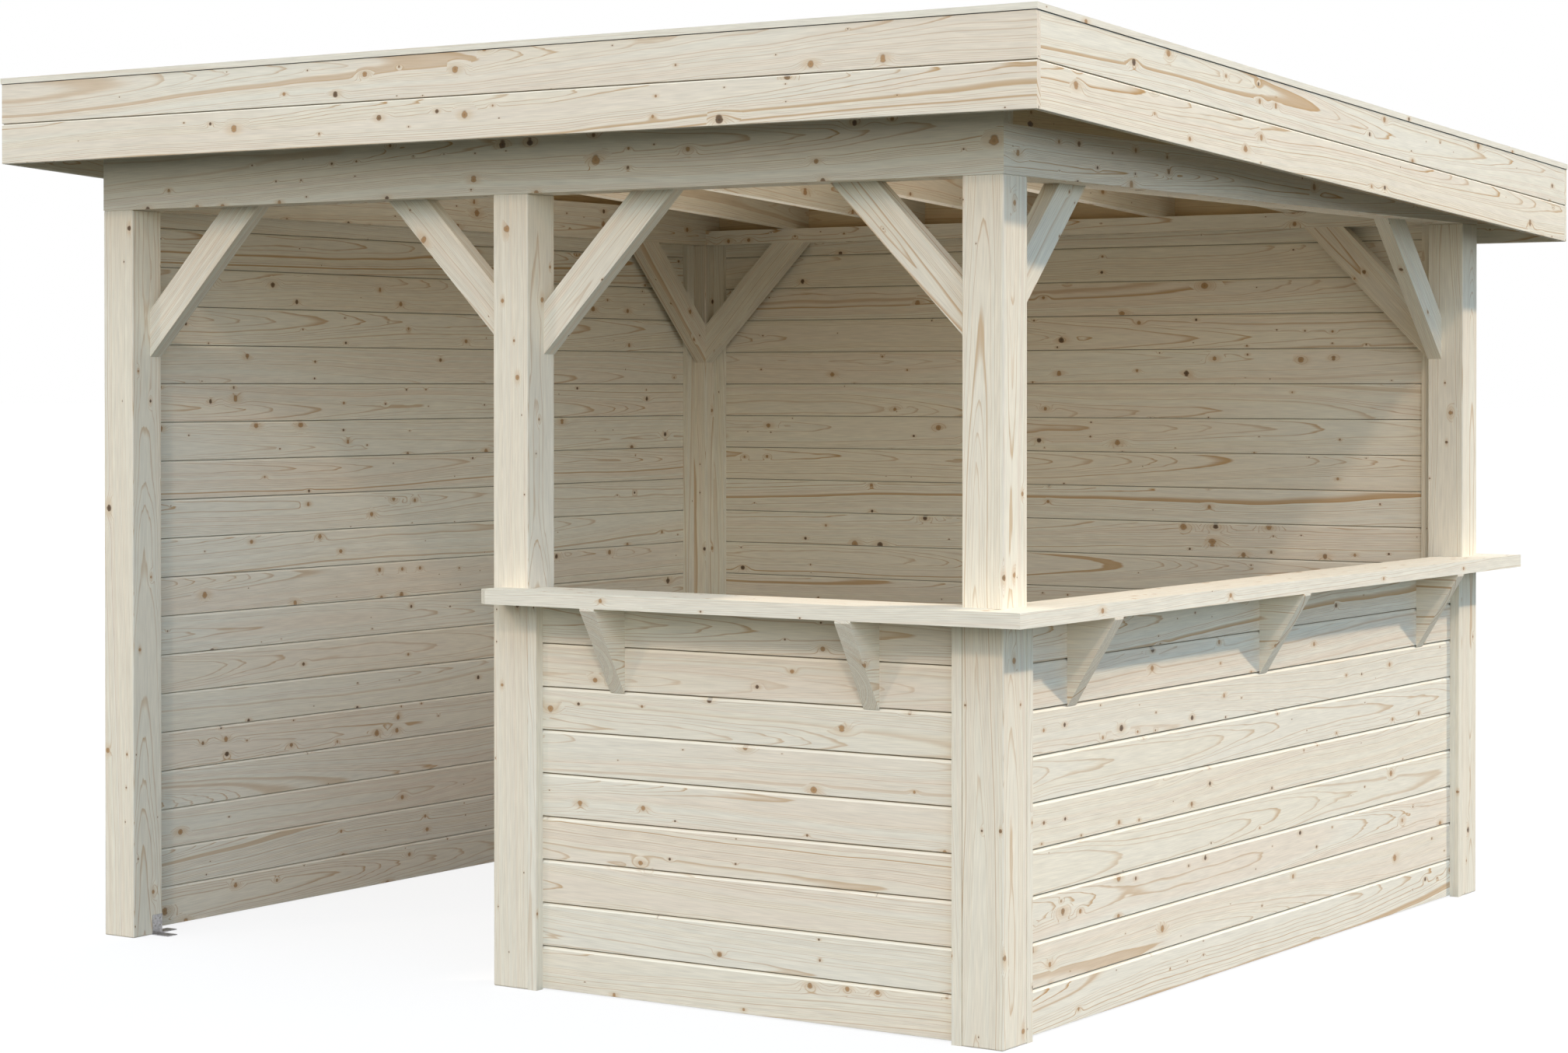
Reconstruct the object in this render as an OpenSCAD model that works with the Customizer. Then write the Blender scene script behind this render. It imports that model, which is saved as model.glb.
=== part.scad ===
// Square garden gazebo in sawn spruce: five posts, a low mono-pitch roof, two solid
// walls, two half-height bar walls with an L-shaped counter, and an open entrance.
// Origin on the ground, under the centre of the roof. X runs left to right along the
// front, Y runs from the front to the back, Z is up.

/* [Frame] */
// Width of the square posts
post_w = 115; // [95:1:140]
// Length over the posts along the front
frame_w = 2982; // [2400:1:4200]
// Length over the posts from front to back
frame_d = 2964; // [2400:1:4200]
// Height of the posts, from the ground to the underside of the beams
post_h = 2086; // [1900:1:2600]
// Radius of the posts' long edges
post_edge_r = 4; // [1:0.5:10]
// Height of the front and side beams
beam_h = 120; // [90:1:180]
// Height of the back beam, at its inner edge
back_beam_h = 50; // [40:1:120]
// Thickness of the plank that raises the front beam to the rafters
riser_t = 45; // [28:1:60]

/* [Roof] */
// Overhang of the roof at the front, from the posts
front_overhang = 200; // [120:1:400]
// Overhang of the roof at each side, from the posts
side_overhang = 202; // [120:1:400]
// Overhang of the roof at the back, from the posts
back_overhang = 236; // [120:1:400]
// Fall of the roof from front to back, in degrees
roof_pitch = 3.04; // [1:0.01:8]
// Number of rafters
rafter_count = 5; // [3:1:9]
// Thickness of a rafter
rafter_t = 45; // [35:1:60]
// Height of a rafter
rafter_h = 125; // [95:1:180]
// Distance from the left side beam to the first rafter
rafter_inset_left = 341; // [0:1:500]
// Distance from the last rafter to the right side beam
rafter_inset_right = 441; // [0:1:500]
// Thickness of the roof boards
deck_t = 20; // [16:1:28]
// Thickness of the roofing felt
felt_t = 2; // [1.5:0.5:5]
// Thickness of the boards that close the sides and the back over the beams
infill_t = 28; // [18:1:28]

/* [Fascia] */
// Thickness of the fascia boards
fascia_t = 18; // [16:1:28]
// Height of the fascia, two boards high
fascia_h = 225.6; // [180:1:320]
// Width of the flat trim along the roof's edge
trim_w = 60; // [40:1:120]
// Thickness of the flat trim
trim_t = 16; // [12:1:28]
// How far the trim stands out past the fascia
trim_proud = 3; // [1:1:20]

/* [Walls] */
// Thickness of the wall boards
wall_t = 18; // [16:1:28]
// Distance from the posts' outer faces back to the wall boards
wall_setback = 28; // [20:1:40]
// Gap under the walls
wall_lift = 4; // [2:1:20]
// Width of the battens between the walls' outer faces and the posts
outer_batten_w = 28; // [20:1:45]
// Width of the battens on the walls' inner faces
inner_batten_w = 42; // [28:1:60]
// Thickness of the battens on the walls' inner faces
inner_batten_t = 18; // [12:1:22]

/* [Counter] */
// Height of the counter's underside above the ground
counter_z = 1015; // [850:1:1150]
// Thickness of the counter boards
counter_t = 38; // [28:1:50]
// How far the counter stands out past the posts
counter_out = 105; // [60:1:180]
// How far the front counter reaches in past the posts' outer faces
counter_in = 80; // [60:1:110]
// How far the right counter reaches in past the posts' outer faces
counter_in_right = 75; // [60:1:110]
// How far the front counter runs on in front of the middle post
counter_tail = 87; // [20:1:110]
// Length of the slanted cut at the front counter's free corner, along the counter
counter_cut_along = 28; // [5:1:60]
// Depth of the slanted cut at the front counter's free corner, across the counter
counter_cut_across = 20; // [5:1:60]
// Thickness of a counter bracket
bracket_t = 45; // [28:1:60]
// Height of a counter bracket
bracket_h = 225; // [150:1:320]
// Flat nose at a counter bracket's tip
bracket_nose = 6; // [3:1:30]
// Number of brackets under the right-hand counter
right_brackets = 3; // [2:1:5]
// Number of brackets under the front counter
front_brackets = 2; // [2:1:4]
// Distance from the post to the first bracket
bracket_inset = 250; // [120:1:400]

/* [Braces] */
// Length of a brace along the post and along the beam
brace_leg = 420; // [300:1:600]
// Width of a brace, square to its slope
brace_w = 95; // [70:1:120]
// Thickness of a brace
brace_t = 45; // [35:1:60]

/* [Anchors] */
// Width of a galvanised angle
anchor_w = 38; // [30:1:60]
// Height of a galvanised angle's upright leg
anchor_h = 57; // [40:1:90]
// Length of a galvanised angle's foot
anchor_foot = 62; // [40:1:90]
// Thickness of a galvanised angle
anchor_t = 2.5; // [2:0.5:4]
// Diameter of the holes in a galvanised angle
anchor_hole_d = 5; // [4:0.5:8]
// Distance from a post's edge to the anchor beside it
anchor_edge = 3; // [0:1:20]

/* [Hidden] */
$fn = 32;
eps = 1;

// The centre of the roof, from the front left post's outer corner
mid_x = frame_w / 2;
mid_y = (frame_d + back_overhang - front_overhang) / 2;

// Post positions: the corner of each post nearest the front left
right_x = frame_w - post_w;
back_y = frame_d - post_w;
middle_x = (frame_w - post_w) / 2;

beam_top = post_h + beam_h;
fall = tan(roof_pitch);

// The roof's outline at the fascias' outer faces
roof_x0 = -side_overhang;
roof_x1 = frame_w + side_overhang;
roof_y0 = -front_overhang;
roof_y1 = frame_d + back_overhang;

// Heights of the roof's layers at a distance y from the posts' front faces
function rafter_low(y) = post_h + back_beam_h + fall * (back_y - y);
function rafter_top(y) = rafter_low(y) + rafter_h;

// Left face of each rafter, evenly spaced between the outer ones
rafter_step = (right_x - post_w - rafter_inset_left - rafter_inset_right - rafter_t) / (rafter_count - 1);
function rafter_x(i) = post_w + rafter_inset_left + rafter_step * i;

wall_x0 = wall_setback;
wall_x1 = frame_w - wall_setback;
wall_y0 = wall_setback;
wall_y1 = frame_d - wall_setback;

// The front counter's free end and the right counter's inner edge
counter_x0 = middle_x + post_w - counter_tail;
counter_x1 = frame_w - counter_in_right;

// Everything is drawn from the front left post's corner, then moved to the origin
module place() translate([-mid_x, -mid_y, 0]) children();

// A block from one corner to the opposite one
module block(low, high) translate(low) cube(high - low);

// A profile given in Y and Z, run along X from x0 to x1
module along_x(x0, x1)
    translate([x0, 0, 0]) rotate([90, 0, 90]) linear_extrude(x1 - x0) children();

// A profile given in X and Z, run along Y from y0 to y1
module along_y(y0, y1)
    translate([0, y1, 0]) rotate([90, 0, 0]) linear_extrude(y1 - y0) children();

// A plank that follows the roof's fall, between heights given by a low and a high function
module sloped(x0, x1, y0, y1, low0, low1, high0, high1)
    along_x(x0, x1) polygon([[y0, low0], [y1, low1], [y1, high1], [y0, high0]]);

// ---- posts ----

module rounded_square(w, r) {
    translate([r, 0]) square([w - 2 * r, w]);
    translate([0, r]) square([w, w - 2 * r]);
    for (x = [r, w - r], y = [r, w - r]) translate([x, y]) circle(r);
}

module post(x, y)
    color("wheat") place() translate([x, y, 0])
        linear_extrude(post_h) rounded_square(post_w, post_edge_r);

module post_front_left() post(0, 0);
module post_front_middle() post(middle_x, 0);
module post_front_right() post(right_x, 0);
module post_back_right() post(right_x, back_y);
module post_back_left() post(0, back_y);

// ---- beams: mitred at the front corners, the back beam lower and between the side beams ----

module beam_front() color("wheat") place() {
    translate([0, 0, post_h]) linear_extrude(beam_h)
        polygon([[0, 0], [frame_w, 0], [right_x, post_w], [post_w, post_w]]);
    sloped(0, frame_w, 0, riser_t, beam_top, beam_top, rafter_low(0), rafter_low(riser_t));
}

module beam_right() color("wheat") place()
    translate([0, 0, post_h]) linear_extrude(beam_h)
        polygon([[frame_w, 0], [frame_w, frame_d], [right_x, frame_d], [right_x, post_w]]);

module beam_left() color("wheat") place()
    translate([0, 0, post_h]) linear_extrude(beam_h)
        polygon([[0, 0], [post_w, post_w], [post_w, frame_d], [0, frame_d]]);

module beam_back() color("wheat") place()
    sloped(post_w, right_x, back_y, frame_d, post_h, post_h, rafter_low(back_y), rafter_low(frame_d));

// ---- boards between the beams and the roof ----

// Wedge over a side beam: it clears the riser at the front and the rafters' level above it
module infill(x) color("tan") place()
    along_x(x, x + infill_t) polygon([
        [riser_t, beam_top], [frame_d, beam_top], [frame_d, rafter_top(frame_d)],
        [infill_t, rafter_top(infill_t)], [infill_t, rafter_low(infill_t)],
        [riser_t, rafter_low(riser_t)]
    ]);

module infill_right() infill(frame_w - infill_t);
module infill_left() infill(0);

// Edges of the bays between the rafters, from the left end x0 to the right end x1
function bay_start(i, x0) = i == 0 ? x0 : rafter_x(i - 1) + rafter_t;
function bay_end(i, x1) = i == rafter_count ? x1 : rafter_x(i);

module blocking_front() color("tan") place()
    for (i = [0:rafter_count])
        sloped(bay_start(i, 0), bay_end(i, frame_w), 0, infill_t,
            rafter_low(0), rafter_low(infill_t), rafter_top(0), rafter_top(infill_t));

module blocking_back() color("tan") place() {
    y0 = frame_d - infill_t;
    difference() {
        for (i = [0:rafter_count])
            sloped(bay_start(i, infill_t), bay_end(i, frame_w - infill_t), y0, frame_d,
                rafter_low(y0), rafter_low(frame_d), rafter_top(y0), rafter_top(frame_d));
        block([-eps, y0 - eps, post_h], [post_w, frame_d + eps, beam_top]);
        block([right_x, y0 - eps, post_h], [frame_w + eps, frame_d + eps, beam_top]);
    }
}

// ---- roof ----

module roof_slab(y0, y1, x0, x1, low_add, high_add)
    sloped(x0, x1, y0, y1, rafter_top(y0) + low_add, rafter_top(y1) + low_add,
        rafter_top(y0) + high_add, rafter_top(y1) + high_add);

module rafters() color("burlywood") place()
    for (i = [0:rafter_count - 1])
        roof_slab(roof_y0 + fascia_t, roof_y1 - fascia_t,
            rafter_x(i), rafter_x(i) + rafter_t, -rafter_h, 0);

module roof_deck() color("burlywood") place()
    roof_slab(roof_y0 + fascia_t, roof_y1 - fascia_t, roof_x0 + fascia_t, roof_x1 - fascia_t, 0, deck_t);

module roof_felt() color("dimgray") place()
    roof_slab(roof_y0, roof_y1, roof_x0, roof_x1, deck_t, deck_t + felt_t);

// ---- fascia: the front and back boards run over the ends of the side boards ----

module fascia_across(y) color("wheat") place()
    roof_slab(y, y + fascia_t, roof_x0, roof_x1, deck_t - fascia_h, deck_t);

module fascia_along(x) color("wheat") place()
    roof_slab(roof_y0 + fascia_t, roof_y1 - fascia_t, x, x + fascia_t, deck_t - fascia_h, deck_t);

module fascia_front() fascia_across(roof_y0);
module fascia_back() fascia_across(roof_y1 - fascia_t);
module fascia_left() fascia_along(roof_x0);
module fascia_right() fascia_along(roof_x1 - fascia_t);

// ---- flat trim round the roof's edge, mitred at the corners ----

trim_x0 = roof_x0 - trim_proud;
trim_x1 = roof_x1 + trim_proud;
trim_y0 = roof_y0 - trim_proud;
trim_y1 = roof_y1 + trim_proud;

// The whole trim layer, cut to the plan outline of one side
module edge_trim(outline) color("wheat") place()
    intersection() {
        roof_slab(trim_y0 - eps, trim_y1 + eps, trim_x0 - eps, trim_x1 + eps,
            deck_t + felt_t, deck_t + felt_t + trim_t);
        linear_extrude(2 * post_h) polygon(outline);
    }

module edge_trim_front() edge_trim([[trim_x0, trim_y0], [trim_x1, trim_y0],
    [trim_x1 - trim_w, trim_y0 + trim_w], [trim_x0 + trim_w, trim_y0 + trim_w]]);
module edge_trim_back() edge_trim([[trim_x0, trim_y1], [trim_x0 + trim_w, trim_y1 - trim_w],
    [trim_x1 - trim_w, trim_y1 - trim_w], [trim_x1, trim_y1]]);
module edge_trim_left() edge_trim([[trim_x0, trim_y0], [trim_x0 + trim_w, trim_y0 + trim_w],
    [trim_x0 + trim_w, trim_y1 - trim_w], [trim_x0, trim_y1]]);
module edge_trim_right() edge_trim([[trim_x1, trim_y0], [trim_x1, trim_y1],
    [trim_x1 - trim_w, trim_y1 - trim_w], [trim_x1 - trim_w, trim_y0 + trim_w]]);

// ---- braces at 45 degrees between the posts and the beams, flush with their inner faces ----

// Outline with the post's edge at 0, leaning to the +side, in the plane of the wall
module brace_outline(side) {
    across = brace_w * sqrt(2);
    polygon([for (p = [[0, -brace_leg], [brace_leg, 0], [brace_leg - across, 0], [0, across - brace_leg]])
        [side * p[0], post_h + p[1]]]);
}

// A brace in a front or back frame: at x, leaning to the side, from y0 inwards
module brace_across(x, side, y0)
    along_y(y0, y0 + brace_t) translate([x, 0]) brace_outline(side);

// A brace in a side frame: at y, leaning to the side, from x0 inwards
module brace_along(y, side, x0)
    along_x(x0, x0 + brace_t) translate([y, 0]) brace_outline(side);

module braces_front() color("wheat") place() {
    y0 = post_w - brace_t;
    brace_across(post_w, 1, y0);
    brace_across(middle_x, -1, y0);
    brace_across(middle_x + post_w, 1, y0);
    brace_across(right_x, -1, y0);
}

module braces_right() color("wheat") place() {
    brace_along(post_w, 1, right_x);
    brace_along(back_y, -1, right_x);
}

module braces_back() color("wheat") place() {
    brace_across(post_w, 1, back_y);
    brace_across(right_x, -1, back_y);
}

module brace_left() color("wheat") place()
    brace_along(back_y, -1, post_w - brace_t);

// ---- walls of horizontal boards between the posts ----

module wall_left() color("bisque") place()
    block([wall_x0, post_w, wall_lift], [wall_x0 + wall_t, back_y, post_h]);

module wall_back() color("bisque") place()
    block([post_w, wall_y1 - wall_t, wall_lift], [right_x, wall_y1, post_h]);

module bar_wall_front() color("bisque") place()
    block([middle_x + post_w, wall_y0, wall_lift], [right_x, wall_y0 + wall_t, counter_z]);

module bar_wall_right() color("bisque") place()
    block([wall_x1 - wall_t, post_w, wall_lift], [wall_x1, back_y, counter_z]);

// ---- battens that hold the walls to the posts: outside from the ground, inside from the wall's foot ----

// Upright battens at both ends of a wall that runs along X from x0 to x1
module battens_across(x0, x1, outer_y, inner_y, h) {
    for (x = [x0, x1 - outer_batten_w])
        block([x, outer_y, 0], [x + outer_batten_w, outer_y + wall_setback, h]);
    for (x = [x0, x1 - inner_batten_w])
        block([x, inner_y, wall_lift], [x + inner_batten_w, inner_y + inner_batten_t, h]);
}

// Upright battens at both ends of a wall that runs along Y between the posts
module battens_along(outer_x, inner_x, h) {
    for (y = [post_w, back_y - outer_batten_w])
        block([outer_x, y, 0], [outer_x + wall_setback, y + outer_batten_w, h]);
    for (y = [post_w, back_y - inner_batten_w])
        block([inner_x, y, wall_lift], [inner_x + inner_batten_t, y + inner_batten_w, h]);
}

module battens_front() color("wheat") place()
    battens_across(middle_x + post_w, right_x, 0, wall_y0 + wall_t, counter_z);
module battens_back() color("wheat") place()
    battens_across(post_w, right_x, wall_y1, wall_y1 - wall_t - inner_batten_t, post_h);
module battens_left() color("wheat") place()
    battens_along(0, wall_x0 + wall_t, post_h);
module battens_right() color("wheat") place()
    battens_along(wall_x1, wall_x1 - wall_t - inner_batten_t, counter_z);

// ---- counter: two boards notched round the posts and mitred at the front right corner ----

module counter_front() color("wheat") place()
    translate([0, 0, counter_z]) linear_extrude(counter_t) polygon([
        [counter_x0, counter_cut_across - counter_out], [counter_x0 + counter_cut_along, -counter_out],
        [frame_w + counter_out, -counter_out], [frame_w, 0], [right_x, 0], [right_x, counter_in],
        [middle_x + post_w, counter_in], [middle_x + post_w, 0], [counter_x0, 0]
    ]);

module counter_right() color("wheat") place()
    translate([0, 0, counter_z]) linear_extrude(counter_t) polygon([
        [frame_w + counter_out, -counter_out], [frame_w + counter_out, frame_d + counter_out],
        [counter_x1, frame_d + counter_out], [counter_x1, frame_d],
        [frame_w, frame_d], [frame_w, back_y], [counter_x1, back_y],
        [counter_x1, post_w], [frame_w, post_w], [frame_w, 0]
    ]);

module bracket_outline() {
    reach = wall_setback + counter_out;
    polygon([[0, counter_z - bracket_h], [reach, counter_z - bracket_nose], [reach, counter_z], [0, counter_z]]);
}

// Evenly spaced places of n brackets between two posts
function bracket_at(i, n, from, to) =
    from + bracket_inset + i * (to - from - 2 * bracket_inset - bracket_t) / (n - 1);

module brackets_right() color("wheat") place()
    for (i = [0:right_brackets - 1]) {
        y = bracket_at(i, right_brackets, post_w, back_y);
        along_y(y, y + bracket_t) translate([wall_x1, 0]) bracket_outline();
    }

module brackets_front() color("wheat") place()
    for (i = [0:front_brackets - 1]) {
        x = bracket_at(i, front_brackets, middle_x + post_w, right_x);
        along_x(x, x + bracket_t) translate([wall_y0, 0]) mirror([1, 0]) bracket_outline();
    }

// ---- galvanised angles that hold the posts to the ground ----

// An angle on a face that looks along +X, its foot pointing along +X, centred on Y
module anchor() difference() {
    union() {
        translate([0, -anchor_w / 2, 0]) cube([anchor_t, anchor_w, anchor_h]);
        translate([0, -anchor_w / 2, 0]) cube([anchor_foot, anchor_w, anchor_t]);
    }
    for (y = [-1, 1], z = [0.45, 0.8])
        translate([-eps, y * anchor_w / 4, z * anchor_h]) rotate([0, 90, 0])
            cylinder(d = anchor_hole_d, h = anchor_t + 2 * eps);
    for (y = [-1, 1])
        translate([0.65 * anchor_foot, y * anchor_w / 4, -eps])
            cylinder(d = anchor_hole_d, h = anchor_t + 2 * eps);
}

module anchor_on(x, y, turn) translate([x, y, 0]) rotate(turn) anchor();

module post_anchors() color("silver") place() {
    near = post_w - anchor_edge - anchor_w / 2;
    // beside the front posts
    anchor_on(post_w, near, 0);
    anchor_on(near, post_w, 90);
    anchor_on(middle_x + post_w / 2, post_w, 90);
    anchor_on(right_x, near, 180);
    anchor_on(frame_w - near, post_w, 90);
    // beside the back posts
    anchor_on(post_w, frame_d - near, 0);
    anchor_on(near, back_y, -90);
    anchor_on(right_x, frame_d - near, 180);
    anchor_on(frame_w - near, back_y, -90);
}

post_front_left();
post_front_middle();
post_front_right();
post_back_right();
post_back_left();
beam_front();
beam_right();
beam_left();
beam_back();
infill_right();
infill_left();
blocking_front();
blocking_back();
rafters();
roof_deck();
roof_felt();
fascia_front();
fascia_right();
fascia_back();
fascia_left();
edge_trim_front();
edge_trim_right();
edge_trim_back();
edge_trim_left();
braces_front();
braces_right();
braces_back();
brace_left();
wall_left();
wall_back();
bar_wall_front();
bar_wall_right();
battens_left();
battens_back();
battens_front();
battens_right();
counter_front();
counter_right();
brackets_front();
brackets_right();
post_anchors();
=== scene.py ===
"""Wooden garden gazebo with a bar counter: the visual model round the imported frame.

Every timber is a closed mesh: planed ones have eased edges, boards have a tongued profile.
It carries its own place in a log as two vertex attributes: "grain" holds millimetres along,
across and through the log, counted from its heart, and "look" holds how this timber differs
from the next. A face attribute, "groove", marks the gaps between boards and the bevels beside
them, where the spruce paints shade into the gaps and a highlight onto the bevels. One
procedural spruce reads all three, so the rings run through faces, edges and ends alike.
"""
import math
import random

import bmesh
import bpy
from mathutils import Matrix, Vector


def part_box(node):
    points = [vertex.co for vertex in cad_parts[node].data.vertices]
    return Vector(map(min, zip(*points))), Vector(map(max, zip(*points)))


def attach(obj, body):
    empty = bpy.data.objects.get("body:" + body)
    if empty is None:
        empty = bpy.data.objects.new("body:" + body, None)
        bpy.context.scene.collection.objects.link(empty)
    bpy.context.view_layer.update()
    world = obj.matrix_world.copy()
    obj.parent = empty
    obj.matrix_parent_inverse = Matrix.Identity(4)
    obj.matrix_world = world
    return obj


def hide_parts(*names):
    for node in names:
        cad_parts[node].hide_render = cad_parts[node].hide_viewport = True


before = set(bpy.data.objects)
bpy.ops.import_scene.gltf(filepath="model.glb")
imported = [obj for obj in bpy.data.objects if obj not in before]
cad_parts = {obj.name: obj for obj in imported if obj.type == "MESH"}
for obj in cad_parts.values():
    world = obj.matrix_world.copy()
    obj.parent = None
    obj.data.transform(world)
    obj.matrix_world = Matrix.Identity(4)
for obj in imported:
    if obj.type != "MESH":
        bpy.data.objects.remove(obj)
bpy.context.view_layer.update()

MM = 0.001
X, Y, Z = Vector((1, 0, 0)), Vector((0, 1, 0)), Vector((0, 0, 1))
SHARP = math.radians(20)    # edges that turn more than this are eased
WELD = 1e-5                 # points nearer than this are one point, in metres
FLAT = 0.002                # triangles that turn less than this are one face, in radians


# ---------------------------------------------------------------- timbers

def block(low, high):
    """A box between two corners, as a bmesh."""
    part = bmesh.new()
    bmesh.ops.create_cube(part, size=1.0)
    for v in part.verts:
        v.co = Vector(low[i] + (v.co[i] + 0.5) * (high[i] - low[i]) for i in range(3))
    return part


def prism(profile, along, wide, thick, origin, length):
    """A profile of (wide, thick) points, run from the origin along a direction."""
    part = bmesh.new()
    rings = [
        [part.verts.new(origin + along * s + wide * w + thick * t) for w, t in profile]
        for s in (0.0, length)
    ]
    count = len(profile)
    for i in range(count):
        j = (i + 1) % count
        part.faces.new((rings[0][i], rings[0][j], rings[1][j], rings[1][i]))
    part.faces.new(rings[0][::-1])
    part.faces.new(rings[1])
    bmesh.ops.recalc_face_normals(part, faces=part.faces)
    return part


def solids(node):
    """The separate solids of a CAD node, each as a bmesh with whole flat faces."""
    whole = bmesh.new()
    whole.from_mesh(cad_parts[node].data)
    bmesh.ops.remove_doubles(whole, verts=whole.verts, dist=WELD)
    bmesh.ops.dissolve_limit(whole, angle_limit=FLAT, verts=whole.verts, edges=whole.edges)
    left = set(whole.verts)
    parts = []
    while left:
        island, front = set(), [left.pop()]
        while front:
            v = front.pop()
            island.add(v)
            for e in v.link_edges:
                w = e.other_vert(v)
                if w in left:
                    left.discard(w)
                    front.append(w)
        part = bmesh.new()
        place = {v: part.verts.new(v.co) for v in sorted(island, key=lambda v: v.index)}
        for f in whole.faces:
            if f.verts[0] in island:
                part.faces.new([place[v] for v in f.verts])
        parts.append(part)
    whole.free()
    return sorted(parts, key=lambda p: tuple(round(c, 4) for c in centre_of(p)))


def centre_of(part):
    """The middle of the box round a solid."""
    low = [min(v.co[i] for v in part.verts) for i in range(3)]
    high = [max(v.co[i] for v in part.verts) for i in range(3)]
    return (Vector(low) + Vector(high)) / 2


def long_axis(part):
    """The direction of a solid's longest edge."""
    edge = max(part.edges, key=lambda e: e.calc_length())
    return (edge.verts[1].co - edge.verts[0].co).normalized()


def stand_in(name, mesh, material, node):
    """Turns a bmesh into a piece that stands for the given CAD node."""
    data = bpy.data.meshes.new(name)
    mesh.to_mesh(data)
    mesh.free()
    data.materials.append(material)
    piece = bpy.data.objects.new(name, data)
    bpy.context.scene.collection.objects.link(piece)
    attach(piece, "root")
    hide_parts(node)


class Timbers:
    """One piece made of one or more timbers, joined as one mesh."""

    LOG = 60000                 # length of the made-up logs, in millimetres
    IN_GROOVE, ON_BEVEL = 1.0, -1.0
    SLANTED = (0.4, 0.9)        # how much a bevel faces the way that the board does

    def __init__(self, name):
        self.name = name
        self.rng = random.Random(name)
        self.mesh = bmesh.new()
        self.grain = self.mesh.verts.layers.float_vector.new("grain")
        self.look = self.mesh.verts.layers.float_color.new("look")
        self.groove = self.mesh.faces.layers.float.new("groove")

    def add(self, part, along, flat, heart=(0, 60), ease=0, segments=2, spread=12, warp=None, core=0.0,
            **look):
        """Eases a solid's edges, gives it a place in a log and takes it in.

        along and flat are the directions along and through the timber. heart is how far the
        timber's middle lies from the log's heart, across and through it, give or take spread.
        warp moves the points once the grain is laid. Faces nearer to the middle plane than core
        lie in a groove, and slanted ones are its bevel. ease, heart, spread and core are in
        millimetres. look fixes what isn't left to chance: tint, rings, lines and knots, 0 to 1.
        """
        if ease:
            edges = [e for e in part.edges if e.calc_face_angle(0.0) > SHARP]
            bmesh.ops.bevel(part, geom=edges, offset=ease * MM, segments=segments,
                            profile=0.5, affect="EDGES", clamp_overlap=True)
        along, flat = along.normalized(), flat.normalized()
        across = flat.cross(along)
        middle = centre_of(part)
        draw = self.rng.uniform
        start = draw(0, self.LOG)
        sideways, deep = heart[0] + draw(-spread, spread), heart[1] + draw(-spread, spread)
        character = (
            look.get("tint", draw(0, 1)),
            look.get("rings", draw(0, 1)),
            look.get("lines", draw(0.5, 1)),
            look.get("knots", draw(0, 1)),
        )
        place = {}
        for v in part.verts:
            new = self.mesh.verts.new(warp(v.co) if warp else v.co)
            d = (v.co - middle) / MM
            new[self.grain] = (start + d.dot(along), sideways + d.dot(across), deep + d.dot(flat))
            new[self.look] = character
            place[v] = new
        part.normal_update()
        for f in part.faces:
            new = self.mesh.faces.new([place[v] for v in f.verts])
            if all(abs((v.co - middle).dot(flat)) < core * MM for v in f.verts):
                new[self.groove] = self.IN_GROOVE
            elif core and self.SLANTED[0] < abs(f.normal.dot(flat)) < self.SLANTED[1]:
                new[self.groove] = self.ON_BEVEL
        part.free()

    def finish(self, node, material="spruce"):
        """Turns the timbers into a piece that stands for the given CAD node."""
        stand_in(self.name, self.mesh, MATERIALS[material], node)


# ---------------------------------------------------------------- materials

# linear colours of dry spruce: early wood in three tones, late wood, and what knots show; then the painted
# shade of the gaps between boards and the painted highlight of the bevels beside them
PALE = (0.785, 0.745, 0.635, 1)
PINK = (0.780, 0.700, 0.580, 1)
YELLOW = (0.800, 0.745, 0.610, 1)
LATE = (0.50, 0.305, 0.13, 1)
STAIN = (0.62, 0.45, 0.27, 1)
LIVE_KNOT = (0.44, 0.26, 0.12, 1)
DEAD_KNOT = (0.12, 0.07, 0.035, 1)
KNOT_HEART = (0.055, 0.03, 0.02, 1)
KNOT_RIM = (0.14, 0.075, 0.04, 1)
GAP_SHADE = (0.19, 0.15, 0.09, 1)
BEVEL_HIGHLIGHT = (0.90, 0.86, 0.74, 1)
BROWNED = (0.90, 0.76, 0.56)    # what the boards under the roof are multiplied by


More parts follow.
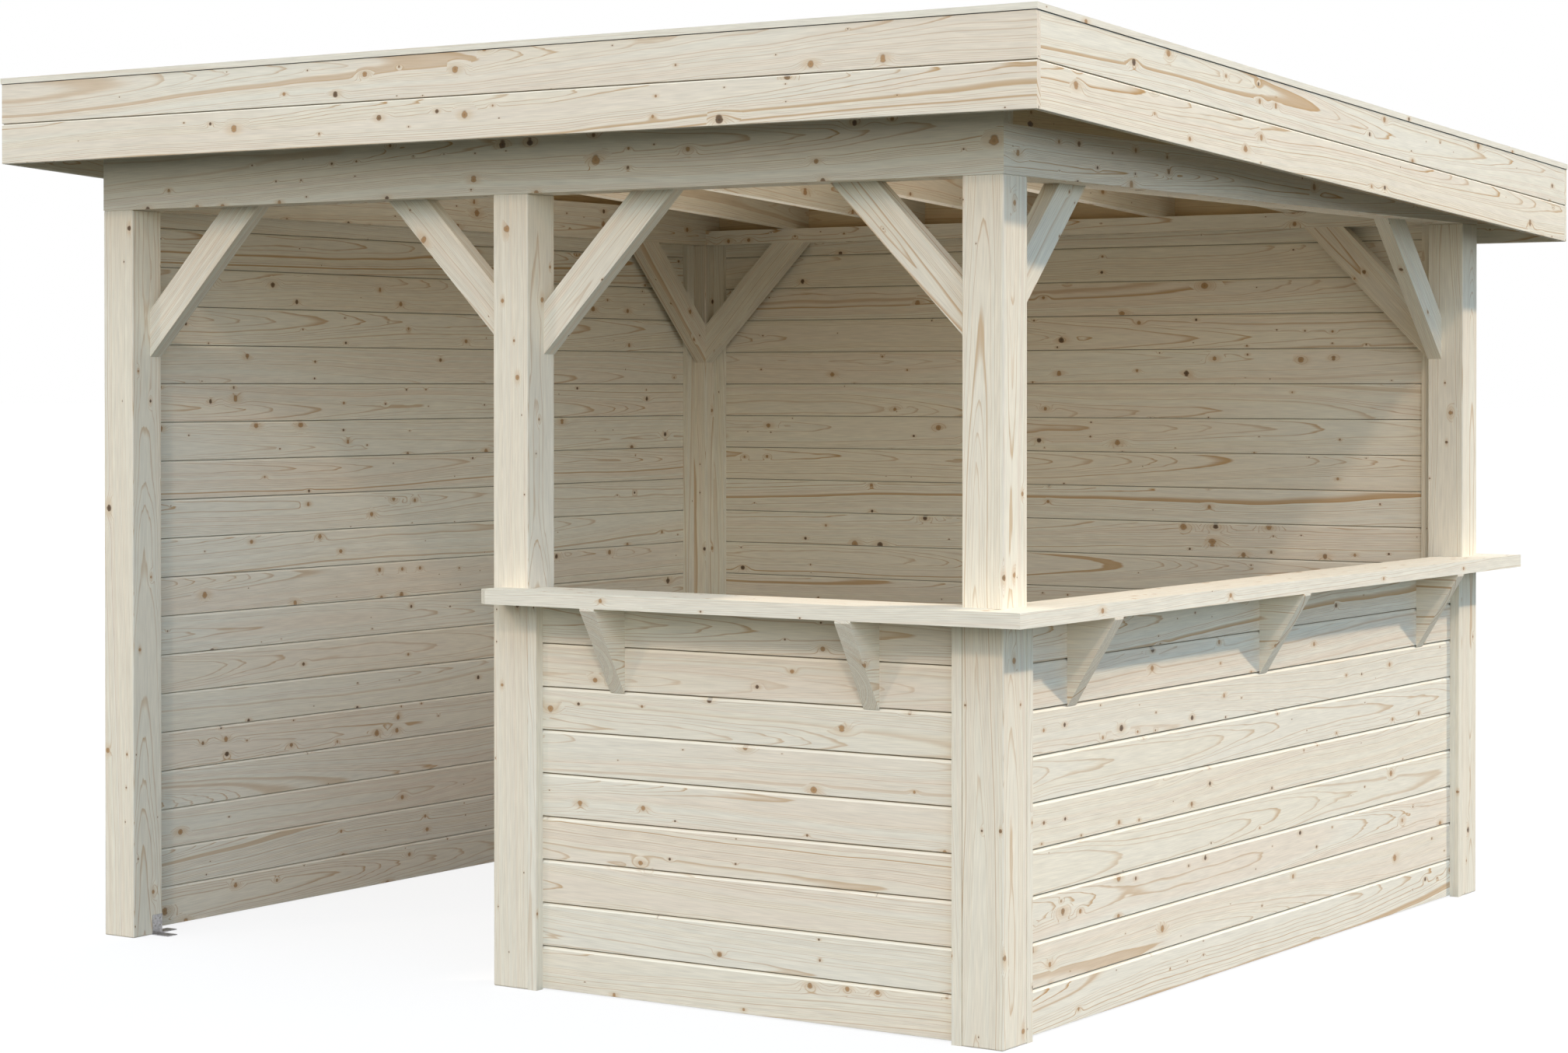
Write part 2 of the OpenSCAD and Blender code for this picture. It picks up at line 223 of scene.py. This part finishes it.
class Graph:
    """Short calls that build the node tree of a material or a world."""

    def __init__(self, owner):
        owner.use_nodes = True
        self.tree = owner.node_tree

    def node(self, kind, inputs=None, **settings):
        """A new node, with its settings and with values or sockets for its inputs."""
        made = self.tree.nodes.new(kind)
        for key, value in settings.items():
            setattr(made, key, value)
        for key, value in (inputs or {}).items():
            self.feed(made.inputs[key], value)
        return made

    def feed(self, socket, value):
        """Gives an input a value, or links it to another node's output."""
        if isinstance(value, bpy.types.NodeSocket):
            self.tree.links.new(value, socket)
        else:
            socket.default_value = value

    def math(self, operation, *values):
        made = self.node("ShaderNodeMath", operation=operation)
        for socket, value in zip(made.inputs, values):
            self.feed(socket, value)
        return made.outputs[0]

    def add(self, a, b):
        return self.math("ADD", a, b)

    def sub(self, a, b):
        return self.math("SUBTRACT", a, b)

    def mul(self, a, b):
        return self.math("MULTIPLY", a, b)

    def div(self, a, b):
        return self.math("DIVIDE", a, b)

    def greater(self, a, b):
        return self.math("MAXIMUM", a, b)

    def hypot(self, a, b):
        return self.math("SQRT", self.add(self.mul(a, a), self.mul(b, b)))

    def swing(self, noise, amount):
        """Turns noise of 0 to 1 into a change to either side, amount from end to end."""
        return self.mul(self.sub(noise, 0.5), amount)

    def step(self, value, low, high, out_low=0.0, out_high=1.0):
        """Smooth change from out_low to out_high while value goes from low to high."""
        made = self.node("ShaderNodeMapRange", interpolation_type="SMOOTHSTEP", inputs={
            "Value": value, "From Min": low, "From Max": high, "To Min": out_low, "To Max": out_high})
        return made.outputs["Result"]

    def fade(self, value, low, high, strength=1.0):
        """Smooth change from strength to nothing while value goes from low to high."""
        return self.step(value, low, high, strength, 0.0)

    def between(self, share, low, high):
        """Runs from low to high while share goes from 0 to 1."""
        return self.add(self.mul(share, high - low), low)

    def vector(self, x, y, z):
        return self.node("ShaderNodeCombineXYZ", inputs={"X": x, "Y": y, "Z": z}).outputs[0]

    def split(self, vector):
        return self.node("ShaderNodeSeparateXYZ", inputs={"Vector": vector}).outputs[:3]

    def noise(self, where, detail=0.0, rough=0.5, line=False):
        """Noise with a feature size of one unit, from a point or along a line."""
        made = self.node("ShaderNodeTexNoise", noise_dimensions="1D" if line else "3D", inputs={
            "Scale": 1.0, "Detail": detail, "Roughness": rough, "W" if line else "Vector": where})
        return made

    def mix(self, factor, a, b, kind="MIX"):
        """Mixes two colours; the sockets are the ones that the node has for colours."""
        made = self.node("ShaderNodeMix", data_type="RGBA", blend_type=kind)
        for socket, value in zip((made.inputs[0], made.inputs[6], made.inputs[7]), (factor, a, b)):
            self.feed(socket, value)
        return made.outputs[2]

    def shaders(self, factor, a, b):
        """Mixes what two shader nodes give."""
        return self.node("ShaderNodeMixShader", inputs={0: factor, 1: a.outputs[0], 2: b.outputs[0]})

    def bump(self, bsdf, strength, distance, height):
        """Fine relief, as deep as distance in metres."""
        made = self.node("ShaderNodeBump", inputs={
            "Strength": strength, "Distance": distance, "Height": height})
        self.feed(bsdf.inputs["Normal"], made.outputs["Normal"])

    def seen_directly(self):
        """1 for rays from the camera, mirrored ones and ones through glass, and 0 for diffuse light."""
        ray = self.node("ShaderNodeLightPath")
        mirrored_or_through = self.greater(ray.outputs["Is Glossy Ray"], ray.outputs["Is Transmission Ray"])
        return self.greater(ray.outputs["Is Camera Ray"], mirrored_or_through)


def new_material(name):
    """A material's graph and its Principled BSDF."""
    material = bpy.data.materials.new(name)
    g = Graph(material)
    return material, g, g.tree.nodes["Principled BSDF"]


def wander(g, x, y, z):
    """Moves the log's heart to and fro along its length, and gives one more slow noise."""
    slow_length, quick_length = 1300.0, 240.0
    slow = g.split(g.noise(g.div(x, slow_length), line=True).outputs["Color"])
    quick = g.split(g.noise(g.div(x, quick_length), line=True).outputs["Color"])
    y = g.add(y, g.add(g.swing(slow[0], 40.0), g.swing(quick[0], 4.0)))
    z = g.add(z, g.add(g.swing(slow[1], 20.0), g.swing(quick[1], 2.0)))
    return y, z, slow[2]


def streaks(g, x, y, z, length, breadth, detail=0.0, rough=0.5):
    """Noise with features of the given length along the log and breadth across it."""
    where = g.vector(g.div(x, length), g.div(y, breadth), g.div(z, breadth))
    return g.noise(where, detail, rough).outputs["Fac"]


def nearest_knot(g, x, round_about, knot_draw):
    """The branch nearest to a point, in a log that has them at random along it and round it.

    The log is laid out in cells, and a share of them has a branch. Gives how far away its middle
    is, in its own radii, whether it is there, how strongly it bends and stains the wood here, a
    draw for its kind, and its radius. Small ones are more frequent.
    """
    cell_length, cell_breadth = 100.0, 46.0
    stain_length, stain_breadth = 3.8, 1.8      # in radii
    smallest, largest = 1.5, g.between(knot_draw, 6.0, 13.0)
    share = g.between(knot_draw, 0.06, 0.33)
    cell = g.vector(g.div(x, cell_length), g.div(round_about, cell_breadth), 0.0)
    found = g.node("ShaderNodeTexVoronoi", voronoi_dimensions="2D",
                   inputs={"Vector": cell, "Scale": 1.0, "Randomness": 0.9})
    pick, size_draw, kind = g.split(found.outputs["Color"])
    away = g.node("ShaderNodeVectorMath", operation="SUBTRACT", inputs={
        0: cell, 1: found.outputs["Position"]})
    along, around, _ = g.split(away.outputs[0])
    along = g.mul(along, cell_length)
    around = g.mul(around, cell_breadth)
    radius = g.add(g.mul(g.mul(size_draw, size_draw), g.sub(largest, smallest)), smallest)
    there = g.math("LESS_THAN", pick, share)
    edge = g.div(g.hypot(along, around), radius)
    reach = g.hypot(g.div(along, g.mul(radius, stain_length)), g.div(around, g.mul(radius, stain_breadth)))
    spread = g.mul(g.math("EXPONENT", g.mul(g.mul(reach, reach), -1.0)), there)
    return edge, there, spread, kind, radius


def late_wood(g, r, ring_draw, line_draw):
    """Rings: each year's wood goes from pale to brown and stops short.

    Gives the share of late wood, and two noises that change slowly from year to year.
    """
    narrowest, widest = 3.3, 5.7
    change_length = 15.0                        # how soon the width and the colour change
    browning, brown, end = 0.75, 0.95, 1.0      # parts of a year's wood
    faintest, strongest = 0.55, 1.10
    years = g.split(g.noise(g.div(r, change_length), line=True).outputs["Color"])
    turn = g.add(g.div(r, g.between(ring_draw, narrowest, widest)), g.mul(years[0], 4.0))
    phase = g.math("FRACT", turn)
    year = g.node("ShaderNodeTexWhiteNoise", noise_dimensions="1D", inputs={"W": g.math("FLOOR", turn)})
    line = g.mul(g.step(phase, browning, brown), g.fade(phase, brown, end))
    late = g.mul(g.mul(line, g.between(year.outputs["Value"], faintest, strongest)), line_draw)
    return late, years[1], years[2]


def early_wood(g, pinkness, yellowness, fibre, ripple, tone):
    """Pale wood with pink and yellow parts, darker and lighter along its fibres."""
    base = g.mix(g.step(pinkness, 1.15, 1.75), PALE, PINK)
    base = g.mix(g.mul(g.step(yellowness, 0.8, 1.3), 0.6), base, YELLOW)
    shade = g.add(g.swing(fibre, 0.30), g.add(g.swing(ripple, 0.16), 1.0))
    return g.mix(1.0, base, g.vector(*(g.mul(shade, part) for part in tone)), "MULTIPLY")


def with_knots(g, colour, ripple, edge, there, spread, kind, radius):
    """Knots: a stain along the fibres, brown wood, a dark heart, and a dark rim on dead ones.

    Gives the colour, and how far a point is inside a knot. Edges are at shares of its radius;
    small ones are mostly dead.
    """
    ragged = g.add(edge, g.swing(ripple, 1.2))
    inside = g.mul(g.fade(ragged, 0.75, 1.05), there)
    dead = g.greater(g.step(kind, 0.6, 0.9), g.fade(radius, 2.0, 4.0, 0.9))
    heart = g.mul(g.fade(ragged, 0.1, 0.5, 0.8), g.between(dead, 0.3, 1.0))
    wood = g.mix(heart, g.mix(dead, LIVE_KNOT, DEAD_KNOT), KNOT_HEART)
    rim = g.mul(g.mul(g.step(ragged, 0.6, 0.9), g.fade(ragged, 0.95, 1.2)), g.mul(there, 0.6))
    colour = g.mix(g.mul(g.step(spread, 0.15, 0.95), 0.5), colour, STAIN)
    colour = g.mix(g.mul(inside, 0.95), colour, wood)
    colour = g.mix(g.mul(rim, g.between(dead, 0.4, 1.0)), colour, KNOT_RIM)
    return colour, inside


def spruce(name, tone=(1, 1, 1)):
    """Raw planed spruce cut out of a log; lengths are in millimetres."""
    material, g, bsdf = new_material(name)
    grain = g.node("ShaderNodeAttribute", attribute_name="grain").outputs["Vector"]
    look = g.node("ShaderNodeAttribute", attribute_name="look")
    groove = g.node("ShaderNodeAttribute", attribute_name="groove").outputs["Fac"]
    tint, ring_draw, line_draw = g.split(look.outputs["Vector"])
    knot_draw = look.outputs["Alpha"]
    x, y, z = g.split(grain)

    # y + z runs round a timber's faces without a break
    knot = nearest_knot(g, x, g.add(y, z), knot_draw)
    _, _, spread, _, knot_radius = knot

    # the log tapers, and its rings wave, ripple and bend out round a knot
    taper, bend = 0.014, 1.5
    y, z, slow = wander(g, x, y, z)
    wave = streaks(g, x, y, z, 900.0, 40.0)
    ripple = streaks(g, x, y, z, 110.0, 10.0, detail=1.0)
    fibre = streaks(g, x, y, z, 70.0, 2.6, detail=1.0, rough=0.6)
    r = g.add(g.add(g.hypot(y, z), g.mul(x, taper)), g.swing(wave, 5.0))
    r = g.add(r, g.swing(ripple, 1.3))
    r = g.add(r, g.mul(g.mul(spread, knot_radius), bend))
    late, pink_years, yellow_years = late_wood(g, r, ring_draw, line_draw)

    pinkness = g.add(g.add(pink_years, g.mul(slow, 0.8)), g.mul(tint, 0.8))
    other_tint = g.math("FRACT", g.mul(tint, 7.0))
    yellowness = g.add(yellow_years, g.mul(other_tint, 0.8))
    colour = g.mix(late, early_wood(g, pinkness, yellowness, fibre, ripple, tone), LATE)
    colour, inside = with_knots(g, colour, ripple, *knot)
    # painted shade: faces in the gaps between boards are darkened, standing in for the shade that falls
    # there
    colour = g.mix(g.step(groove, 0.0, Timbers.IN_GROOVE, 0.0, 0.85), colour, GAP_SHADE)
    # painted highlight: the slanted bevels above each gap are made paler, as if lit from above
    colour = g.mix(g.fade(groove, Timbers.ON_BEVEL, 0.0, 0.6), colour, BEVEL_HIGHLIGHT)

    g.feed(bsdf.inputs["Base Color"], colour)
    g.feed(bsdf.inputs["Roughness"], g.step(inside, 0.0, 1.0, 0.68, 0.5))
    bsdf.inputs["Specular IOR Level"].default_value = 0.25
    return material


def zinc():
    """Galvanised sheet: dull grey with soft spangles and fine scratches; scales are per metre."""
    material, g, bsdf = new_material("zinc")
    where = g.node("ShaderNodeTexCoord").outputs["Object"]
    spangle = g.node("ShaderNodeTexVoronoi", inputs={"Vector": where, "Scale": 180.0})
    grit = g.node("ShaderNodeTexNoise", inputs={"Vector": where, "Scale": 900.0, "Detail": 3.0})
    tone = g.step(g.split(spangle.outputs["Color"])[0], 0.0, 1.0, 0.36, 0.5)
    g.feed(bsdf.inputs["Base Color"], g.vector(tone, tone, g.mul(tone, 1.03)))
    g.feed(bsdf.inputs["Roughness"], g.step(grit.outputs["Fac"], 0.3, 0.7, 0.38, 0.56))
    g.bump(bsdf, 0.2, 0.2 * MM, grit.outputs["Fac"])
    bsdf.inputs["Metallic"].default_value = 0.85
    return material


def felt():
    """Mineral-faced roofing felt: dark grit with paler grains; scales are per metre."""
    material, g, bsdf = new_material("felt")
    where = g.node("ShaderNodeTexCoord").outputs["Object"]
    grains = g.node("ShaderNodeTexVoronoi", inputs={"Vector": where, "Scale": 700.0})
    stain = g.node("ShaderNodeTexNoise", inputs={
        "Vector": where, "Scale": 2.5, "Detail": 5.0, "Roughness": 0.6})
    speck = g.split(grains.outputs["Color"])[0]
    tone = g.mul(g.step(speck, 0.2, 1.0, 0.035, 0.11), g.step(stain.outputs["Fac"], 0.3, 0.7, 0.85, 1.2))
    g.feed(bsdf.inputs["Base Color"], g.vector(tone, tone, g.mul(tone, 1.05)))
    g.bump(bsdf, 0.6, 0.8 * MM, grains.outputs["Distance"])
    bsdf.inputs["Roughness"].default_value = 0.9
    return material


MATERIALS = {
    "spruce": spruce("spruce"),
    "roof_spruce": spruce("roof_spruce", tone=BROWNED),
    "zinc": zinc(),
    "felt": felt(),
}


# ---------------------------------------------------------------- planed timbers

def planed(name, node, along, flat, slot="board_wood", material="spruce", **wood):
    """A CAD node's own solids as timbers; with no direction, each one runs along its longest edge."""
    timbers = Timbers(name)
    for part in solids(node):
        timbers.add(part, along or long_axis(part), flat, **wood)
    timbers.finish(node, material=material)


# a post cut far from its log's heart shows straight lines on its front, and one cut near it arches
POST_HEARTS = {
    "post_front_left": (75, 15),
    "post_front_middle": (105, 10),
    "post_front_right": (8, 15),
    "post_back_right": (8, -6),
    "post_back_left": (8, -6),
}
for node, heart in POST_HEARTS.items():
    post = Timbers(node + "_timber")
    post.add(block(*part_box(node)), Z, Y, heart=heart, ease=4, segments=3, rings=0.35, lines=0.65,
             knots=0.5, tint=0.7)
    post.finish(node)

for node, along, flat in (
    ("beam_front", X, Y),
    ("beam_back", X, Y),
    ("beam_right", Y, X),
    ("beam_left", Y, X),
):
    planed(node + "_timber", node, along, flat, slot="beam_wood", heart=(20, -30), ease=2.5,
           knots=1.0, lines=1.0)

for node, along, flat in (
    ("infill_right", Y, X),
    ("infill_left", Y, X),
    ("blocking_front", X, Y),
    ("blocking_back", X, Y),
):
    planed(node + "_boards", node, along, flat, slot="roof_wood", material="roof_spruce", ease=1)

planed("rafter_timbers", "rafters", None, X, slot="roof_wood", heart=(10, 75), ease=3)

for node, flat in (("braces_front", Y), ("braces_back", Y), ("braces_right", X), ("brace_left", X)):
    planed(node + "_timbers", node, None, flat, slot="beam_wood", heart=(25, 65), ease=2, knots=0.6)

for node, flat in (("battens_left", X), ("battens_back", Y), ("battens_front", Y), ("battens_right", X)):
    planed(node + "_strips", node, Z, flat, heart=(20, 40), ease=1.5, knots=0.3, lines=0.4, tint=0.1)


# ---------------------------------------------------------------- boarded walls and fascias

PITCH = 113.3 * MM              # from one wall board to the next
FASCIA_LOWER = 114.6 * MM       # height of the lower fascia board
TONGUE = 1.5 * MM               # half the thickness of a tongue
SLOT = 7 * MM                   # depth of the slot that takes it
CORE = 2.5                      # faces this near to the middle plane lie in a gap, in millimetres

# joints between boards: the gap's height, and the bevel's height and depth
WALL_JOINT = (2.2 * MM, 5.5 * MM, 5 * MM)
BAR_JOINT = (3.6 * MM, 6.5 * MM, 6 * MM)
FASCIA_JOINT = (2.6 * MM, 3 * MM, 2.5 * MM)
DECK_JOINT = (1.0 * MM, 3 * MM, 3 * MM)


def mirrored(half):
    """Points on one side of the middle plane, then those on the other side, backwards."""
    return half + [(w, -t) for w, t in reversed(half)]


def board_profile(height, thickness, joint, cut=False):
    """Section of a tongued board, in metres, or of one whose top is cut off square.

    Under the gap both faces have a slightly rounded bevel, and the foot has a small one.
    """
    gap, bevel, depth = joint
    t = thickness / 2
    foot = 0.8 * MM
    top = height - gap
    bend_down, bend_in = 0.4, 0.55              # the bevel's middle, as shares of its height and depth
    tip_up, tip_in = 0.6 * SLOT, 0.4 * MM       # the tongue's tip: into the next board, and narrower
    if cut:
        crown = [(height, t)]
    else:
        crown = [(top - bevel, t), (top - bend_down * bevel, t - bend_in * depth), (top, t - depth),
                 (top, TONGUE), (height + tip_up, TONGUE - tip_in)]
    base = [(0, foot - t), (0, -TONGUE), (SLOT, -TONGUE)]
    return (mirrored([(foot, t), *crown]) + mirrored(base))[::-1]


def board_heart(rng, nearest):
    """A board's place in its log: to either side, and over the heart or under it."""
    side = rng.choice((-1, 1))
    return rng.uniform(-62, 62), side * rng.uniform(nearest, 100)


def boarded_wall(node, along, thick, joint):
    """Horizontal boards, one above the other, the top one cut to fit."""
    low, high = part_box(node)
    length = abs((high - low).dot(along))
    thickness = abs((high - low).dot(thick))
    origin = low + thick * thickness / 2
    wall = Timbers(node + "_boards")
    sliver = 0.01       # less than this share of a board isn't worth one
    count = math.ceil((high.z - low.z) / PITCH - sliver)
    for i in range(count):
        last = i == count - 1
        height = high.z - low.z - i * PITCH if last else PITCH
        profile = board_profile(height, thickness, joint, cut=last)
        part = prism(profile, along, Z, thick, origin + Z * i * PITCH, length)
        wall.add(part, along, thick, heart=board_heart(wall.rng, 36), spread=4, core=CORE)
    wall.finish(node)


boarded_wall("wall_left", Y, X, WALL_JOINT)
boarded_wall("wall_back", X, Y, WALL_JOINT)
boarded_wall("bar_wall_front", X, Y, BAR_JOINT)
boarded_wall("bar_wall_right", Y, X, BAR_JOINT)

felt_low, felt_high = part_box("roof_felt")
FELT_T = 2 * MM
FALL = (felt_high.z - felt_low.z - FELT_T) / (felt_high.y - felt_low.y)


def sink(y0):
    """Moves points down with the roof's fall, counted from y0."""
    return lambda p: Vector((p.x, p.y, p.z - FALL * (p.y - y0)))


def fascia(node, along, thick):
    """Two boards high; on the sides they follow the roof's fall, with upright ends."""
    low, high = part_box(node)
    length = abs((high - low).dot(along))
    thickness = abs((high - low).dot(thick))
    bottom = low.z + FALL * (high.y - low.y)
    origin = Vector((low.x, low.y, bottom)) + thick * thickness / 2
    boards = Timbers(node + "_boards")
    upper = high.z - bottom - FASCIA_LOWER
    for base, height, cut in ((0.0, FASCIA_LOWER, False), (FASCIA_LOWER, upper, True)):
        profile = board_profile(height, thickness, FASCIA_JOINT, cut=cut)
        part = prism(profile, along, Z, thick, origin + Z * base, length)
        boards.add(part, along, thick, heart=board_heart(boards.rng, 40), spread=4, core=CORE,
                   warp=sink(low.y), knots=0.7)
    boards.finish(node)


fascia("fascia_front", X, Y)
fascia("fascia_back", X, Y)
fascia("fascia_left", Y, X)
fascia("fascia_right", Y, X)

for node, along in (
    ("edge_trim_front", X),
    ("edge_trim_back", X),
    ("edge_trim_left", Y),
    ("edge_trim_right", Y),
):
    planed(node + "_strip", node, along, Z, heart=(30, 60), ease=2.5, knots=0.3, lines=0.3, tint=0.0)


# ---------------------------------------------------------------- roof

def roof_deck():
    """Boards from side to side, laid down the fall; the last one is cut to fit."""
    low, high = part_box("roof_deck")
    thickness = high.z - low.z - FALL * (high.y - low.y)
    deck = Timbers("roof_deck_boards")
    rows = math.ceil((high.y - low.y) / PITCH)
    for i in range(rows):
        y0 = low.y + i * PITCH
        width = min(PITCH, high.y - y0)
        profile = board_profile(width, thickness, DECK_JOINT, cut=i == rows - 1)
        start = Vector((low.x, y0, high.z - thickness / 2))
        part = prism(profile, X, Y, Z, start, high.x - low.x)
        heart = (deck.rng.uniform(-48, 48), deck.rng.uniform(34, 95))
        deck.add(part, X, Z, heart=heart, spread=4, core=CORE, warp=sink(low.y))
    deck.finish("roof_deck", material="roof_spruce")


roof_deck()


def felt_sheets():
    """Strips of felt laid across the fall, each lapped over the one below it."""
    sheet_w, lap, rise, ease = 1.0, 0.08, 1.2 * MM, 0.6 * MM
    mesh = bmesh.new()
    y0 = y1 = felt_high.y
    while y0 > felt_low.y:
        y0 = max(felt_low.y, y1 - sheet_w)
        part = block((felt_low.x, y0, felt_high.z - FELT_T), (felt_high.x, y1, felt_high.z))
        for v in part.verts:
            lapped = v.co.y > (y0 + y1) / 2 and y1 < felt_high.y
            v.co = sink(felt_low.y)(v.co + Z * (rise if lapped else 0.0))
        bmesh.ops.bevel(part, geom=list(part.edges), offset=ease, segments=1, affect="EDGES")
        place = {v: mesh.verts.new(v.co) for v in part.verts}
        for f in part.faces:
            mesh.faces.new([place[v] for v in f.verts])
        part.free()
        y1 = y0 + lap
    stand_in("roof_felt_sheets", mesh, MATERIALS["felt"], "roof_felt")


felt_sheets()


# ---------------------------------------------------------------- counter and brackets

for node, along in (("counter_front", X), ("counter_right", Y)):
    planed(node + "_board", node, along, Z, heart=(20, -75), ease=3, segments=3, knots=0.5, lines=0.5,
           tint=0.3)

for node, along, flat in (("brackets_front", Y, X), ("brackets_right", X, Y)):
    planed(node + "_blocks", node, along, flat, slot="beam_wood", heart=(40, 60), ease=1.5, knots=0.1,
           lines=0.9, rings=0.4)

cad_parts["post_anchors"].data.materials.clear()
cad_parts["post_anchors"].data.materials.append(MATERIALS["zinc"])


# ---------------------------------------------------------------- light, floor and camera

SUN_SPREAD = math.radians(2.5)

# a name, where the lamp stands as seen from the object, strength and colour; the directions are
# those of the shadows in the photo
SUNS = (
    ("sun_front_left", (-0.59, -1.0, 0.66), 0.41, (1.0, 0.76, 0.57)),
    ("sun_front_right", (0.79, -1.34, 1.0), 0.48, (1.0, 0.76, 0.58)),
    ("sun_right_back", (1.0, 0.95, 1.12), 2.20, (1.0, 0.80, 0.61)),
)
for name, towards, strength, colour in SUNS:
    lamp = bpy.data.lights.new(name, "SUN")
    lamp.energy = strength
    lamp.color = colour
    lamp.angle = SUN_SPREAD
    holder = bpy.data.objects.new(name, lamp)
    holder.rotation_euler = Vector(towards).to_track_quat("Z", "Y").to_euler()
    bpy.context.scene.collection.objects.link(holder)


def ceiling_fill():
    """A soft lamp under the roof that shines up at it; the lamp itself isn't seen."""
    below_posts_top = 0.12
    lamp = bpy.data.lights.new("ceiling_fill", "AREA")
    lamp.shape = "RECTANGLE"
    lamp.size, lamp.size_y = 2.4, 2.0
    lamp.energy = 8.5
    lamp.color = (1.0, 0.98, 0.96)
    holder = bpy.data.objects.new("ceiling_fill", lamp)
    holder.location = (0.1, -0.15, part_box("post_front_left")[1].z - below_posts_top)
    holder.rotation_euler = (math.pi, 0, 0)
    holder.visible_camera = holder.visible_glossy = False
    bpy.context.scene.collection.objects.link(holder)


ceiling_fill()

WHITE = (1, 1, 1, 1)
NEAR_WHITE = (0.9, 0.9, 0.9, 1)
FLOOR_UNDER_ROOF = (0.25, 0.23, 0.195, 1)   # these two are for bounced light only
FLOOR_OUTSIDE = (0.062, 0.070, 0.062, 1)


def white_floor():
    """A floor that shows as white and keeps a light shadow, and is darker to bounced light."""
    size, glowing_share = 400, 0.85
    under_roof, outside = 0.9, 1.6      # how far out its tone starts and ends to change
    material, g, bsdf = new_material("floor_pale")
    g.tree.nodes.remove(bsdf)
    pale = g.node("ShaderNodeBsdfDiffuse", inputs={"Color": NEAR_WHITE})
    glow = g.node("ShaderNodeEmission", inputs={"Color": WHITE, "Strength": 1.0})
    shown = g.shaders(glowing_share, pale, glow)
    px, py, _ = g.split(g.node("ShaderNodeNewGeometry").outputs["Position"])
    away = g.greater(g.math("ABSOLUTE", px), g.math("ABSOLUTE", py))
    tone = g.mix(g.step(away, under_roof, outside), FLOOR_UNDER_ROOF, FLOOR_OUTSIDE)
    bounce = g.node("ShaderNodeBsdfDiffuse", inputs={"Color": tone})
    both = g.shaders(g.seen_directly(), bounce, shown)
    g.feed(g.tree.nodes["Material Output"].inputs["Surface"], both.outputs[0])
    bpy.ops.mesh.primitive_plane_add(size=size, location=(0, 0, 0))
    floor = bpy.context.object
    floor.name = "floor"
    floor.data.materials.append(material)


white_floor()

# light from round about, every 45 degrees, low down and half way up; given one by one, for front,
# front_right and right from a first fit to patches of the photo
SKY = {
    "left": ((0.78, 0.78, 0.78), (1.23, 1.30, 1.36)),
    "front_left": ((0.78, 0.66, 0.52), (0.94, 1.00, 1.01)),
    "front": ((0.76, 0.76, 0.68), (1.44, 1.56, 1.74)),
    "front_right": ((3.50, 3.48, 3.20), (0.81, 1.23, 1.91)),
    "right": ((1.27, 1.71, 2.16), (0.23, 0.36, 0.55)),
    "back_right": ((0.39, 0.55, 0.74), (0.40, 0.50, 0.60)),
    "back": ((0.08, 0.09, 0.10), (0.33, 0.36, 0.40)),
    "back_left": ((0.15, 0.16, 0.18), (1.13, 1.19, 1.25)),
}
ZENITH = (1.50, 1.80, 2.00, 1)


def ring(g, colours, round_about):
    """Colours that follow each other round the horizon, the first one again at the end."""
    ramp = g.node("ShaderNodeValToRGB", inputs={"Fac": round_about})
    stops = ramp.color_ramp.elements
    for place in range(1, len(colours)):
        stops.new(place / len(colours))
    for place, stop in enumerate(stops):
        stop.color = (*colours[place % len(colours)], 1)
    return ramp.outputs["Color"]


def sky():
    """Soft light from all round, cooler and stronger from the right; the camera sees white."""
    world = bpy.data.worlds.new("studio")
    bpy.context.scene.world = world
    g = Graph(world)
    background = g.tree.nodes["Background"]
    tx, ty, tz = g.split(g.node("ShaderNodeTexCoord").outputs["Generated"])
    round_about = g.add(g.div(g.math("ARCTAN2", ty, tx), 2 * math.pi), 0.5)
    low, middle = (ring(g, colours, round_about) for colours in zip(*SKY.values()))
    low_end, middle_start, middle_end, zenith_start = (
        math.sin(math.radians(height)) for height in (8, 24, 40, 65))
    light = g.mix(g.step(tz, low_end, middle_start), low, middle)
    light = g.mix(g.step(tz, middle_end, zenith_start), light, ZENITH)
    g.feed(background.inputs["Color"], light)
    background.inputs["Strength"].default_value = 1.0
    white = g.node("ShaderNodeBackground", inputs={"Color": WHITE, "Strength": 1.0})
    both = g.shaders(g.seen_directly(), background, white)
    g.feed(g.tree.nodes["World Output"].inputs["Surface"], both.outputs[0])


sky()

# the photo's camera, as it was fitted for the CAD sizes
camera_data = bpy.data.cameras.new("camera")
camera_data.lens = 74.95
camera_data.sensor_width = 36
camera_data.shift_x = 0.0009
camera_data.shift_y = -0.0703
camera_data.clip_end = 500
camera = bpy.data.objects.new("camera", camera_data)
camera.location = (5.360, -8.2323, 1.5843)
camera.rotation_euler = (math.radians(89.457), 0, 0.58918)
bpy.context.scene.collection.objects.link(camera)
bpy.context.scene.camera = camera
bpy.context.scene.view_settings.view_transform = "Standard"
